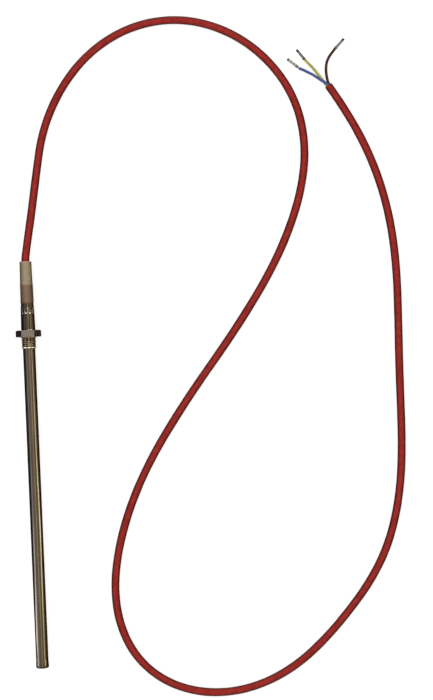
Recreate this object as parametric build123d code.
from build123d import *
import math
import os

# Screw-in flame sensor probe with a three-core silicone lead, lying flat.
# Millimetres, +Z up. The probe axis lies on Y with the cable at +Y and the closed tip at -Y;
# the origin is the centre of the hexagon's seating face. The floor it rests on is z = -9.
# Names ending in _depth_y, and those under "inside the sheath", are distances from the seat
# towards the tip, so they are negated to give y.

floor_z = -9.0
fit_gap = 0.01           # radial clearance of a wire in its drilled hole
overshoot = 1            # how far a cutter runs past each end of what it cuts

# ---------------------------------------------------------------- threaded fitting
hex_af = 18.0            # across flats
hex_height = 5.5
hex_chamfer = 1.1        # radial run of the corner chamfer on the cable side
hex_seat_chamfer = hex_chamfer * 0.6
hex_seat_chamfer_rise = hex_chamfer * 0.46
hex_cable_chamfer_rise = hex_chamfer * 0.6
hex_cone_margin = 0.2    # chamfering body beyond the hexagon's corners
thread_r = 12.0 / 2      # M12 x 1.5 external thread
thread_pitch = 1.5
thread_groove = 0.84     # depth of the V
thread_proud = 0.12      # how far the groove cutter stands out of the crest
thread_mouth_half = thread_pitch * 0.44 + 0.06
thread_root_half = thread_pitch * 0.07
thread_length = 8.4
thread_seat_gap = 0.75   # unthreaded length next to the seat
end_ring_r = 5.55
end_ring_chamfer = 0.5
fitting_depth_y = 9.2    # lower end of the chamfered end ring
fitting_bore_r = 3.75
spigot_low_r = 4.46      # plugs into the sheath tube
spigot_low_depth_y = 16.0
spigot_up_r = 5.2        # plugs into the neck tube
spigot_up_y = 10.5
spigot_chamfer = 0.4
joint_overlap = 0.01     # keeps the turned pieces fused to the hexagon

# ---------------------------------------------------------------- sheath tube and tip
sheath_r = 5.0
sheath_bore_r = sheath_r - 0.5
sheath_top_chamfer = 0.15
sheath_depth_y = 267.3
flare_r = 5.2
flare_depth_y = 261.5    # where the tip flare starts
flare_knee, flare_knee_drop = 3.2, 0.03   # run to the knee, and how far it is under flare_r
flare_run = 4.2
sheath_end_chamfer, sheath_end_chamfer_run = 0.12, 0.3
dome_r = flare_r - 0.14
dome_steps = 8
probe_length = 268.5     # seat to the tip of the dome
plug_gap = 0.02          # radial gap of the tip plug in the sheath
plug_chamfer = 0.4
plug_fill_gap = 0.1      # between the fill and the plug's inner face

# ---------------------------------------------------------------- neck tube and crimp
neck_wall = 0.5
neck_profile = [         # (y, outer radius), swaged towards the cable
    (hex_height, 5.75), (8.6, 5.72), (14.6, 5.62), (19.6, 5.5), (22.0, 5.44), (23.8, 5.36),
    (25.4, 5.24), (26.8, 5.09), (28.1, 4.98), (30.1, 4.93), (32.6, 4.89), (35.6, 4.84),
    (38.6, 4.78), (41.9, 4.72),
]
neck_spigot_bore = [(10.2, 5.23), (14.6, 5.1)]   # (y, bore radius), where the bore clears the spigot
neck_core_r = 0.3        # bore of the near-solid neck that trims the crimp bumps
crimp_y = 21.5
crimp_count = 12
crimp_first_deg = 99
crimp_scoop_r = 1.9
crimp_depth = 0.5
crimp_surface_r = 5.45
crimp_run = 2.6          # straight middle of each long dimple
weld_degs = (84, 61, 205, 325)
weld_ring_r, weld_r = 5.72, 0.75
weld_y = hex_height + 0.1

# ---------------------------------------------------------------- heat sleeve
# (y, radius), over the neck tube's end and the cable
sleeve_outer = [
    (27.3, 5.36), (32.6, 5.3), (39.6, 5.22), (43.1, 5.1), (51.6, 4.98), (61.1, 4.8),
]
sleeve_inner = [
    (27.3, 5.13), (28.1, 5.03), (30.1, 4.965), (32.6, 4.92), (35.6, 4.87), (38.6, 4.81),
    (41.9, 4.75), (42.6, 4.63), (43.4, 4.42), (44.6, 4.31), (47.6, 4.2), (51.6, 4.12),
    (61.1, 3.95),
]

# ---------------------------------------------------------------- inside the neck, at +y
bush_inner_r, bush_outer_r, bush_start, bush_end = 3.27, 4.18, 17.8, 40.5
potting_start, potting_end, potting_r = 10.7, 16.2, 4.95
potting_core_gap = 0.02

# ---------------------------------------------------------------- inside the sheath
clip_low, clip_high, clip_outer_r, clip_inner_r, clip_gap_deg = 28.0, 22.0, 4.48, 4.0, 70.0
clip_cutter_reach = 8
clip_barrel = (-1.45, -2.9)   # x, z of the barrel that takes the earth conductor
clip_barrel_r, clip_barrel_drop = 0.9, 0.6
splice_x = 1.75          # the two spliced cores lie at x = +/- this
splice_top, splice_bottom, splice_r = 31.0, 42.0, 1.15
splice_strand_bore_end, splice_lead_bore_end = 37.0, 36.9   # the two bores overlap
splice_sleeve_top, splice_sleeve_bottom = 29.0, 45.0
splice_sleeve_r, splice_sleeve_bore_r = 1.6, 1.19
lead_r = 0.4
lead_top = 37.5
cement_top, cement_bottom = 46.0, 48.0
fill_r = sheath_bore_r - 0.03   # also the cement plug's radius
fill_bottom = 263.5
fill_cement_gap, fill_bead_gap = 0.02, 0.03
fill_pocket_r, fill_pocket_below = 2.5, 2   # pocket round the bent leads and the junction
bead_r, bead_bore_r, bead_length, bead_count, bead_top = 3.5, 0.46, 40.4, 5, 49.0
bead_pitch = bead_length + 0.1
bead_end = bead_top + bead_count * bead_pitch
junction_y, junction_r = 259.5, 1.1
# (height above the junction, distance from the axis) along each lead's inward bend
lead_bend = [(6.5, splice_x), (2.6, 1.25), (0.1, 0.46)]
lead_bend_lean = 0.25    # inward slope at the junction

# ---------------------------------------------------------------- lead
jacket_r = 3.25
jacket_bore_r = 2.6
jacket_start = 17.0
core_r, core_bore_r = 1.125, 0.6
strand_r = 0.5
lay_r = 1.35             # core centres from the cable's centre
cable_z = floor_z + jacket_r
exit_bend_y, exit_bend_r = 60.0, 40.0
exit_deg = 9.4           # the cable leaves the sleeve at a slight angle
drop_run = 46.0          # plan length over which it comes down to the floor

# Plan of the cable on the floor, from the end of its drop to the stripped end:
# (x, y, heading in degrees clockwise from +Y). Two tangent arcs join each knot to the next.
cable_knots = [
    (25.4, 183.0, 25.1), (76.8, 239.6, 61.2), (152.6, 247.7, 106.7), (214.0, 200.5, 147.7),
    (228.1, 125.6, 188.9), (203.3, 55.8, 208.0), (165.3, -3.4, 216.1), (125.3, -57.1, 215.8),
    (91.0, -110.4, 208.5), (68.2, -165.4, 195.8), (61.9, -220.9, 174.7), (83.8, -270.7, 135.6),
    (137.0, -294.1, 93.4), (194.8, -280.7, 61.6), (239.6, -244.0, 42.8), (275.1, -197.2, 29.1),
    (294.1, -141.3, 9.9), (298.7, -79.9, 0.6), (299.4, -14.7, 1.2), (299.2, 54.5, -3.6),
    (285.5, 126.0, -19.1), (251.1, 193.7, -33.4),
]

ferrule_length = 10.6
ferrule_r, ferrule_bore_r = 1.1, 0.6
ferrule_mouth_r, ferrule_mouth_length = 1.35, 1.5
strand_inset = 0.25      # the strand stops this far inside the ferrule's end


def polar(radius, deg):
    angle = math.radians(deg)
    return radius * math.cos(angle), radius * math.sin(angle)


# One entry per core:
#   lay         place in the cable (right, up)
#   inner       (x, z) at the inner end
#   bend        y where the S bend to the inner place starts and ends
#   core_end, strand_end   y of the inner ends
#   free        (x, y, z) points past the jacket
#   aim         point that the ferrule points at
#   bare        bare strand between core and ferrule
wires = {
    "brown": dict(
        lay=polar(lay_r, -30), inner=(splice_x, 0.0), bend=(-13.0, -27.5),
        core_end=-30.0, strand_end=-36.0,
        free=[(250.2, 200.6, -6.3), (249.8, 206.1, -5.9), (250.9, 212.9, -5.2),
              (253.3, 217.4, -4.3), (256.1, 220.9, -3.3), (257.9, 223.0, -2.6)],
        aim=(265.2, 230.2, 3.3), bare=0.4,
    ),
    "green_yellow": dict(
        lay=polar(lay_r, 210), inner=clip_barrel, bend=(-17.6, -22.8),
        core_end=-17.0, strand_end=-27.4,
        free=[(246.2, 199.0, -6.5), (242.1, 204.7, -6.4), (238.8, 208.8, -5.9),
              (235.1, 212.6, -5.1), (232.6, 215.4, -4.4)],
        aim=(226.9, 222.2, 1.4), bare=0.4,
    ),
    "blue": dict(
        lay=(0.0, lay_r), inner=(-splice_x, 0.0), bend=(-17.6, -27.6),
        core_end=-30.0, strand_end=-36.0,
        free=[(247.0, 196.8, -3.9), (243.2, 199.5, -4.0), (239.3, 202.4, -4.7),
              (235.2, 204.8, -5.4), (231.5, 206.9, -6.2), (228.0, 208.8, -6.9)],
        aim=(218.2, 217.1, -7.9), bare=1.3,
    ),
}


# ---------------------------------------------------------------- solid helpers
def lathe(outline):
    """A solid of revolution about the Y axis from (radius, y) corners."""
    face = make_face(Polyline(*[(radius, y, 0) for radius, y in outline], close=True))
    return revolve(face, axis=Axis.Y, revolution_arc=360)


def smooth_lathe(outer, inner):
    """A shell of revolution with smooth outer and inner walls through (y, radius) points."""
    walls = [[(radius, y, 0) for y, radius in stations] for stations in (outer, inner)]
    curves = [Spline(*wall) if len(wall) > 2 else Line(*wall) for wall in walls]
    top = Line(walls[0][-1], walls[1][-1])
    bottom = Line(walls[0][0], walls[1][0])
    face = make_face([curves[0], top, curves[1], bottom])
    return revolve(face, axis=Axis.Y, revolution_arc=360)


def cross_plane(x, y, z):
    """A plane square to the Y axis; its own second axis points to -Z."""
    return Plane(origin=(x, y, z), x_dir=(1, 0, 0), z_dir=(0, 1, 0))


def rod(x, z, y_low, y_high, radius):
    """A straight round rod along Y."""
    return extrude(cross_plane(x, y_low, z) * Circle(radius), amount=y_high - y_low)


def drilled_rod(y_low, y_high, radius, holes, x=0):
    """A rod along Y with through holes, given as (x, z, radius)."""
    body = rod(x, 0, y_low, y_high, radius)
    for hole_x, hole_z, hole_r in holes:
        body = body - rod(hole_x, hole_z, y_low - overshoot, y_high + overshoot, hole_r)
    return body


def tube_along(path, radius, bore=0.0):
    """A round tube or rod swept along a smooth path."""
    ends = [Plane(origin=path @ u, z_dir=path % u) for u in (0, 1)]
    outer = sweep(ends[0] * Circle(radius), path=path, clean=False)
    if not bore:
        return outer
    inner = sweep(ends[0] * Circle(bore), path=path, clean=False)
    # The tube is sewn from its walls and end rings, which avoids a boolean on the long sweeps.
    rings = [end * Circle(radius) - end * Circle(bore) for end in ends]
    walls = [
        wall for swept in (outer, inner) for wall in swept.faces()
        if wall.geom_type != GeomType.PLANE
    ]
    return Solid(Shell(walls + [ring.faces()[0] for ring in rings]))


def largest_solid(shape):
    return max(shape.solids(), key=lambda solid: solid.volume)


# ---------------------------------------------------------------- route helpers
# A route is a list of pieces: (start, end) for a line, (start, middle, end) for an arc.
along_y = Vector(0, 1, 0)


def heading(deg):
    return Vector(math.sin(math.radians(deg)), math.cos(math.radians(deg)), 0)


def arc_from(start, direction, end):
    """The arc piece that leaves start along direction and reaches end."""
    chord = end - start
    forward = chord.dot(direction)
    side = chord - direction * forward
    middle = start + chord * 0.5
    if side.length >= 1e-9:
        turn = math.atan2(side.length, forward)
        unit = chord.normalized()
        outward = (direction - unit * direction.dot(unit)).normalized()
        middle = middle + outward * (chord.length / 2) * math.tan(turn / 2)
    return start, middle, end


def two_arcs(start, direction, joint, end):
    """Two tangent arcs from start along direction, through joint, to end."""
    unit = (joint - start).normalized()
    joint_direction = (unit * 2 * direction.dot(unit) - direction).normalized()
    return [arc_from(start, direction, joint), arc_from(joint, joint_direction, end)]


def biarc(start, start_dir, end, end_dir):
    """Two tangent arcs that leave along start_dir and arrive along end_dir."""
    chord = end - start
    # The tangent length solves square * d^2 + linear * d + constant = 0.
    square = 2 * (1 - start_dir.dot(end_dir))
    linear = 2 * chord.dot(start_dir + end_dir)
    constant = -chord.dot(chord)
    if abs(square) < 1e-9:
        reach = -constant / linear
    else:
        root = math.sqrt(linear * linear - 4 * square * constant)
        reach = (-linear + root) / (2 * square)
    joint = (start + end + (start_dir - end_dir) * reach) * 0.5
    return two_arcs(start, start_dir, joint, end)


def s_bend(start, direction, run, shift):
    """Two equal arcs that carry a line sideways by shift over run, keeping its direction."""
    end = start + direction * run + shift
    return two_arcs(start, direction, (start + end) * 0.5, end)


def edge_of(piece):
    return Line(*piece) if len(piece) == 2 else ThreePointArc(*piece)


def beside(piece, right, up):
    """The piece moved to a fixed place (right, up) in the cable's cross-section."""
    edge, moved = edge_of(piece), []
    for u in (0, 1) if len(piece) == 2 else (0, 0.5, 1):
        tangent = (edge % u).normalized()
        side = Vector(tangent.Y, -tangent.X, 0).normalized()
        moved.append(edge @ u + side * right + side.cross(tangent) * up)
    return tuple(moved)


def make_cable_route():
    """Straight out of the neck, a slight bend, down to the floor, then through the knots."""
    bend_start, exit_dir = Vector(0, exit_bend_y, 0), heading(exit_deg)
    cos_part, sin_part = polar(exit_bend_r, exit_deg)
    bend_end = bend_start + Vector(exit_bend_r - cos_part, sin_part, 0)
    pieces = [(Vector(0, jacket_start, 0), bend_start), arc_from(bend_start, along_y, bend_end)]
    pieces += s_bend(bend_end, exit_dir, drop_run, Vector(0, 0, cable_z))
    point, direction = pieces[-1][-1], exit_dir
    for x, y, deg in cable_knots:
        knot, knot_dir = Vector(x, y, cable_z), heading(deg)
        pieces += biarc(point, direction, knot, knot_dir)
        point, direction = knot, knot_dir
    return pieces


# ---------------------------------------------------------------- fitting
def make_thread_groove():
    """The helical V groove, cut from a full-diameter stem so the crests keep that diameter."""
    helix = Helix(
        pitch=thread_pitch, height=thread_length + thread_pitch * 0.9, radius=thread_r,
        center=(0, 0, 0), direction=(0, 0, 1),
    )
    start = helix @ 0
    outward = Vector(start.X, start.Y, 0).normalized()
    profile = Plane(origin=start, x_dir=outward, z_dir=helix % 0) * make_face(Polyline(
        (thread_proud, -thread_mouth_half), (thread_proud, thread_mouth_half),
        (-thread_groove, thread_root_half), (-thread_groove, -thread_root_half), close=True,
    ))
    groove = sweep(profile, path=helix, is_frenet=True)
    # The helix is built along +Z, so it is laid down to run from the end ring to the seat.
    groove = Pos(0, -thread_length - thread_pitch * 0.95, 0) * Rot(-90, 0, 0) * groove
    low, high = -thread_length - 0.1, -thread_seat_gap
    keep = lathe([(0, low), (thread_r + 2, low), (thread_r + 2, high), (0, high)])
    return groove & keep


def make_fitting():
    hexagon = extrude(
        cross_plane(0, 0, 0) * RegularPolygon(hex_af / 2, 6, major_radius=False),
        amount=hex_height,
    )
    corner = hex_af / math.sqrt(3)
    hexagon = hexagon & lathe([
        (0, 0), (corner - hex_seat_chamfer, 0),
        (corner + hex_cone_margin, hex_seat_chamfer_rise),
        (corner + hex_cone_margin, hex_height - hex_cable_chamfer_rise),
        (corner - hex_chamfer, hex_height), (0, hex_height),
    ])
    stem = lathe([
        (0, joint_overlap), (thread_r, joint_overlap), (thread_r, -thread_length),
        (end_ring_r, -thread_length - end_ring_chamfer), (end_ring_r, -fitting_depth_y),
        (spigot_low_r, -fitting_depth_y), (spigot_low_r, -spigot_low_depth_y + spigot_chamfer),
        (spigot_low_r - spigot_chamfer, -spigot_low_depth_y), (0, -spigot_low_depth_y),
    ])
    top_start = hex_height - joint_overlap
    top = lathe([
        (0, top_start), (spigot_up_r, top_start), (spigot_up_r, spigot_up_y - spigot_chamfer),
        (spigot_up_r - spigot_chamfer, spigot_up_y), (0, spigot_up_y),
    ])
    body = hexagon + stem + top - make_thread_groove()
    bore_low, bore_high = -spigot_low_depth_y - overshoot, spigot_up_y + overshoot
    return body - rod(0, 0, bore_low, bore_high, fitting_bore_r)


# ---------------------------------------------------------------- sheath and tip
def make_sheath():
    return lathe([
        (sheath_bore_r, -fitting_depth_y), (sheath_r - sheath_top_chamfer, -fitting_depth_y),
        (sheath_r, -fitting_depth_y - sheath_top_chamfer), (sheath_r, -flare_depth_y),
        (flare_r - flare_knee_drop, -flare_depth_y - flare_knee),
        (flare_r, -flare_depth_y - flare_run),
        (flare_r, -sheath_depth_y + sheath_end_chamfer_run),
        (flare_r - sheath_end_chamfer, -sheath_depth_y), (sheath_bore_r, -sheath_depth_y),
    ])


def make_tip_plug():
    inner_face = -fill_bottom - plug_fill_gap
    dome = []
    for i in range(dome_steps + 1):
        along, across = polar(1, 90 * i / dome_steps)
        dome_y = -sheath_depth_y - (probe_length - sheath_depth_y) * along
        dome.append((dome_r * across, dome_y))
    plug_r = sheath_bore_r - plug_gap
    return lathe([(0, inner_face)] + dome + [
        (plug_r, -sheath_depth_y), (plug_r, inner_face - plug_chamfer),
        (sheath_bore_r - plug_chamfer, inner_face),
    ])


# ---------------------------------------------------------------- neck
def crimp_capsule(radius):
    """A round-ended rod along Y, centred on the origin."""
    half = crimp_run / 2
    capsule = rod(0, 0, -half, half, radius)
    for end in (-half, half):
        capsule = capsule + Pos(0, end, 0) * Sphere(radius)
    return capsule


def make_neck():
    """The neck tube with a ring of long dimples; a bump inside backs each one."""
    inner = [(y, radius - neck_wall) for y, radius in neck_profile]
    inner[1:3] = neck_spigot_bore
    neck = smooth_lathe(neck_profile, inner)
    core = [(neck_profile[end][0], neck_core_r) for end in (0, -1)]
    neck_skin = smooth_lathe(neck_profile, core)
    places = []
    for i in range(crimp_count):
        x, z = polar(
            crimp_surface_r - crimp_depth + crimp_scoop_r,
            crimp_first_deg + 360 / crimp_count * i,
        )
        places.append(Pos(x, crimp_y, z))
    for place in places:
        neck = neck + (place * crimp_capsule(crimp_scoop_r + neck_wall) & neck_skin)
    for place in places:
        neck = neck - place * crimp_capsule(crimp_scoop_r)
    return neck


def make_tack_welds(fitting, neck):
    """Beads at the neck's foot, each cut to what lies outside the metal."""
    welds = []
    for deg in weld_degs:
        x, z = polar(weld_ring_r, deg)
        welds.append(largest_solid(Pos(x, weld_y, z) * Sphere(weld_r) - fitting - neck))
    return Compound(children=welds)


# ---------------------------------------------------------------- cores and ferrules
def make_ferrule(mouth, direction):
    outline = [          # (radius, distance from the mouth)
        (ferrule_mouth_r, 0), (ferrule_mouth_r, 0.25), (ferrule_r, ferrule_mouth_length),
        (ferrule_r, ferrule_length - 0.1), (ferrule_r - 0.08, ferrule_length),
        (ferrule_bore_r, ferrule_length), (ferrule_bore_r, ferrule_mouth_length),
        (ferrule_mouth_r - 0.15, 0.2), (ferrule_mouth_r - 0.12, 0),
    ]
    face = make_face(Polyline(*[(radius, 0, z) for radius, z in outline], close=True))
    ferrule = revolve(face, axis=Axis.Z, revolution_arc=360)
    return Plane(origin=mouth, z_dir=direction).location * ferrule


def make_wire(wire, cable_route):
    """The core, conductor and ferrule of one entry of wires."""
    right, up = wire["lay"]
    x, z = wire["inner"]
    bend_from, bend_to = wire["bend"]
    foot = Vector(x, bend_to, z)
    bend = s_bend(foot, along_y, bend_from - bend_to, Vector(right - x, 0, up - z))
    lay_start = Vector(right, jacket_start, up)
    inner_edges = [edge_of(arc) for arc in bend] + [Line(bend[-1][-1], lay_start)]

    laid = [edge_of(beside(piece, right, up)) for piece in cable_route]
    points = [laid[-1] @ 1] + [Vector(*point) for point in wire["free"]]
    direction = (Vector(*wire["aim"]) - points[-1]).normalized()
    outer_edges = laid + [Spline(*points, tangents=[laid[-1] % 1, direction])]
    mouth = points[-1] + direction * wire["bare"]
    tail = Line(points[-1], mouth + direction * (ferrule_length - strand_inset))

    if wire["core_end"] > bend_from:
        # This core stops before its S bend; only the strand goes on.
        core_inner = [Line(Vector(right, wire["core_end"], up), lay_start)]
    else:
        core_inner = [Line(Vector(x, wire["core_end"], z), foot)] + inner_edges
    strand_inner = [Line(Vector(x, wire["strand_end"], z), foot)] + inner_edges
    core = tube_along(Wire(core_inner + outer_edges), core_r, core_bore_r)
    strand = tube_along(Wire(strand_inner + outer_edges + [tail]), strand_r)
    return core, strand, make_ferrule(mouth, direction)


# ---------------------------------------------------------------- inside pieces
def make_potting_plug():
    holes = [(*wire["lay"], core_r + potting_core_gap) for wire in wires.values()]
    return drilled_rod(potting_start, potting_end, potting_r, holes)


def make_earth_clip():
    """A spring ring open at the top, with a barrel for the earth conductor."""
    ring = drilled_rod(-clip_low, -clip_high, clip_outer_r, [(0, 0, clip_inner_r)])
    across, down = polar(clip_cutter_reach, clip_gap_deg / 2 - 90)
    wedge = extrude(
        cross_plane(0, -clip_low - overshoot, 0)
        * make_face(Polyline((0, 0), (across, down), (-across, down), close=True)),
        amount=clip_low - clip_high + 2 * overshoot,
    )
    barrel = rod(*clip_barrel, -clip_low, -clip_high - clip_barrel_drop, clip_barrel_r)
    barrel = barrel & rod(0, 0, -clip_low, -clip_high, clip_outer_r)
    hole = rod(*clip_barrel, -clip_low - overshoot, -clip_high + overshoot, strand_r + fit_gap)
    return ring - wedge + barrel - hole


def make_splice(x):
    splice = rod(x, 0, -splice_bottom, -splice_top, splice_r)
    splice = splice - rod(
        x, 0, -splice_strand_bore_end, -splice_top + overshoot, strand_r + fit_gap)
    return splice - rod(
        x, 0, -splice_bottom - overshoot, -splice_lead_bore_end, lead_r + fit_gap)


def make_splice_sleeve(x):
    return drilled_rod(
        -splice_sleeve_bottom, -splice_sleeve_top, splice_sleeve_r,
        [(x, 0, splice_sleeve_bore_r)], x=x,
    )


def make_lead(x):
    """A wire from the splice that bends in to the sensing junction."""
    side = math.copysign(1, x)
    points = [(side * offset, -junction_y + height, 0) for height, offset in lead_bend]
    bend = Spline(*points, tangents=[(0, -1, 0), (-side * lead_bend_lean, -1, 0)])
    # The straight stretch ends where the bend starts.
    return rod(x, 0, points[0][1], -lead_top, lead_r) + tube_along(bend, lead_r)


def lead_holes(radius):
    return [(x, 0, radius) for x in (splice_x, -splice_x)]


def make_insulators():
    beads = []
    for i in range(bead_count):
        top = -bead_top - i * bead_pitch
        bead = drilled_rod(top - bead_length, top, bead_r, lead_holes(bead_bore_r))
        beads.append(bead.solids()[0])
    return Compound(children=beads)


def make_magnesia_fill():
    pocket_low, pocket_high = -junction_y - fill_pocket_below, -bead_end + overshoot
    return (
        rod(0, 0, -fill_bottom, -cement_bottom - fill_cement_gap, fill_r)
        - rod(0, 0, -bead_end, 0, bead_r + fill_bead_gap)
        - rod(0, 0, pocket_low, pocket_high, fill_pocket_r)
    )


# ---------------------------------------------------------------- build and export
fitting = make_fitting()
neck = make_neck()
cable_route = make_cable_route()
cable_centre = Wire([edge_of(piece) for piece in cable_route])

parts = {
    "threaded_fitting": fitting,
    "sheath_tube": make_sheath(),
    "tip_plug": make_tip_plug(),
    "neck_tube": neck,
    "tack_welds": make_tack_welds(fitting, neck),
    "heat_sleeve": smooth_lathe(sleeve_outer, sleeve_inner),
    "cable_jacket": tube_along(cable_centre, jacket_r, jacket_bore_r),
    "crimp_bush": drilled_rod(bush_start, bush_end, bush_outer_r, [(0, 0, bush_inner_r)]),
    "potting_plug": make_potting_plug(),
    "earth_clip": make_earth_clip(),
    "cement_plug": drilled_rod(
        -cement_bottom, -cement_top, fill_r, lead_holes(lead_r + fit_gap)),
    "insulator_beads": make_insulators(),
    "magnesia_fill": make_magnesia_fill(),
}

for colour, wire in wires.items():
    core, strand, ferrule = make_wire(wire, cable_route)
    role = "earth" if colour == "green_yellow" else colour
    parts["core_" + colour] = core
    parts["conductor_" + role] = strand
    parts["ferrule_" + role] = ferrule

for colour, pole, x in (("brown", "positive", splice_x), ("blue", "negative", -splice_x)):
    parts["splice_" + colour] = make_splice(x)
    parts["splice_sleeve_" + colour] = make_splice_sleeve(x)
    parts["lead_wire_" + pole] = make_lead(x)

parts["sensing_junction"] = largest_solid(
    Pos(0, -junction_y, 0) * Sphere(junction_r)
    - parts["lead_wire_positive"] - parts["lead_wire_negative"]
)

os.makedirs("parts", exist_ok=True)
for node, shape in parts.items():
    export_step(shape, "parts/" + node + ".step")
